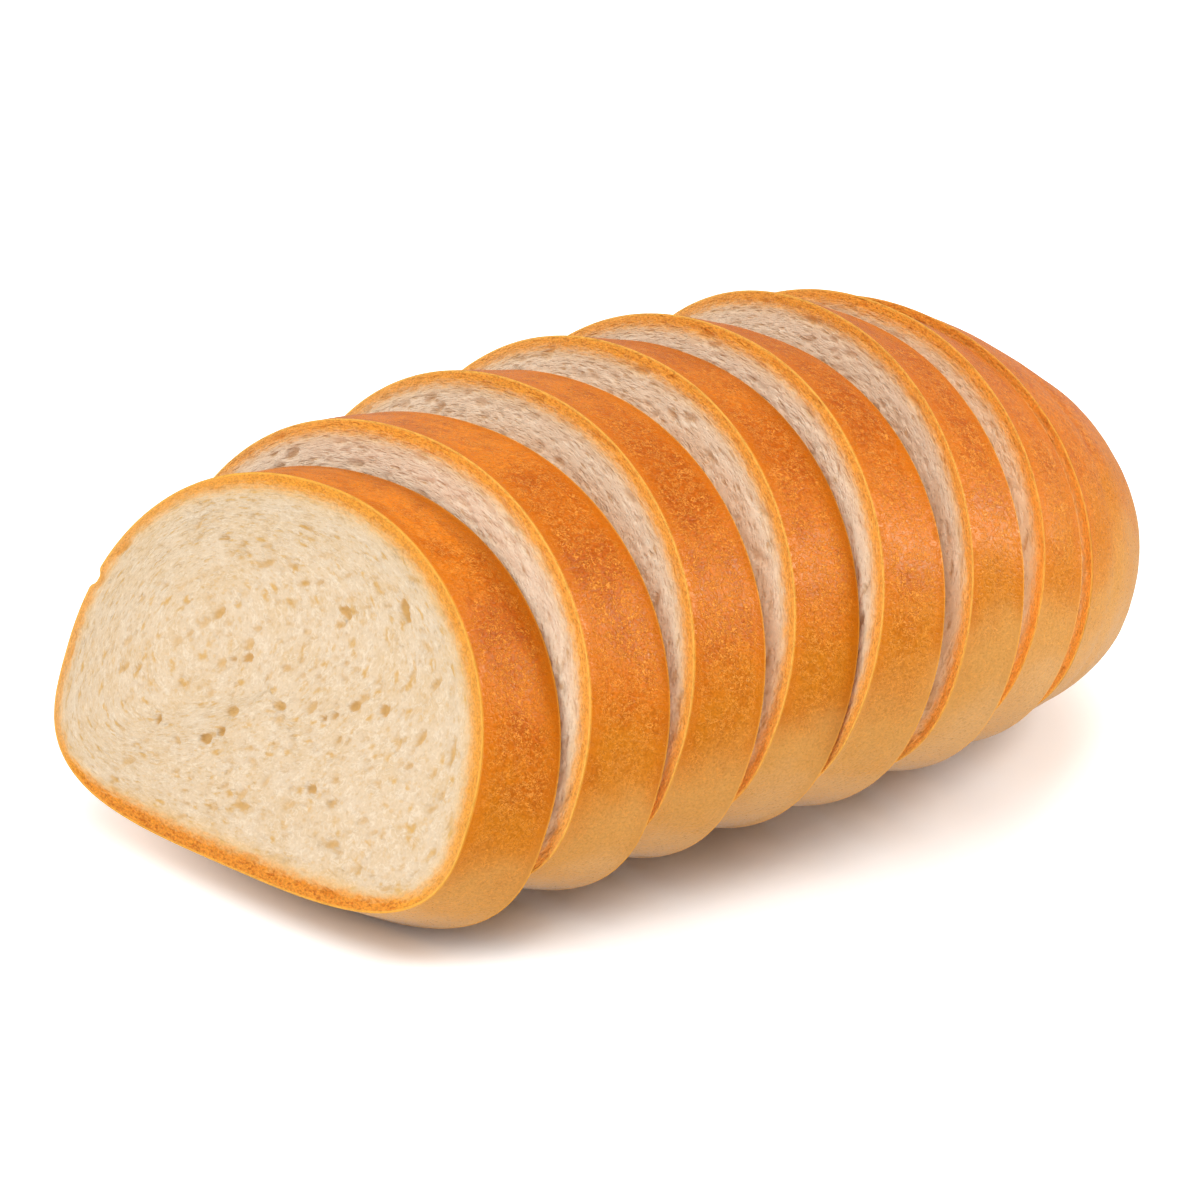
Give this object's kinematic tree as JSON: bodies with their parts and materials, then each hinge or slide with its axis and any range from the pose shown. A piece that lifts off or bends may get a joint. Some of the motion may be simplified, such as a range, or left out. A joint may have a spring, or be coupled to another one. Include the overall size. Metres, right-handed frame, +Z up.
{
  "type": "sliced oval white loaf",
  "caption": "Free-standing oval white bread loaf with a glossy baked crust, cut into slices that stand fanned and lean back on the heel.",
  "frame": {"origin": "bottom centre of the object's box, on the surface that it stands on", "axes": "+Y along the loaf towards the rounded heel, the first cut face looks towards -Y; +Z up; +X to the right when the first cut face is looked at"},
  "size_m": [0.1228, 0.177, 0.0737],
  "materials": {
    "bread": "satin orange-brown baked crust, matt cream crumb on the cut faces"
  },
  "bodies": {
    "root": {"slice_1": "bread", "slice_2": "bread", "slice_3": "bread", "slice_4": "bread", "slice_5": "bread", "slice_6": "bread", "slice_7": "bread", "heel": "bread"}
  },
  "joints": []
}
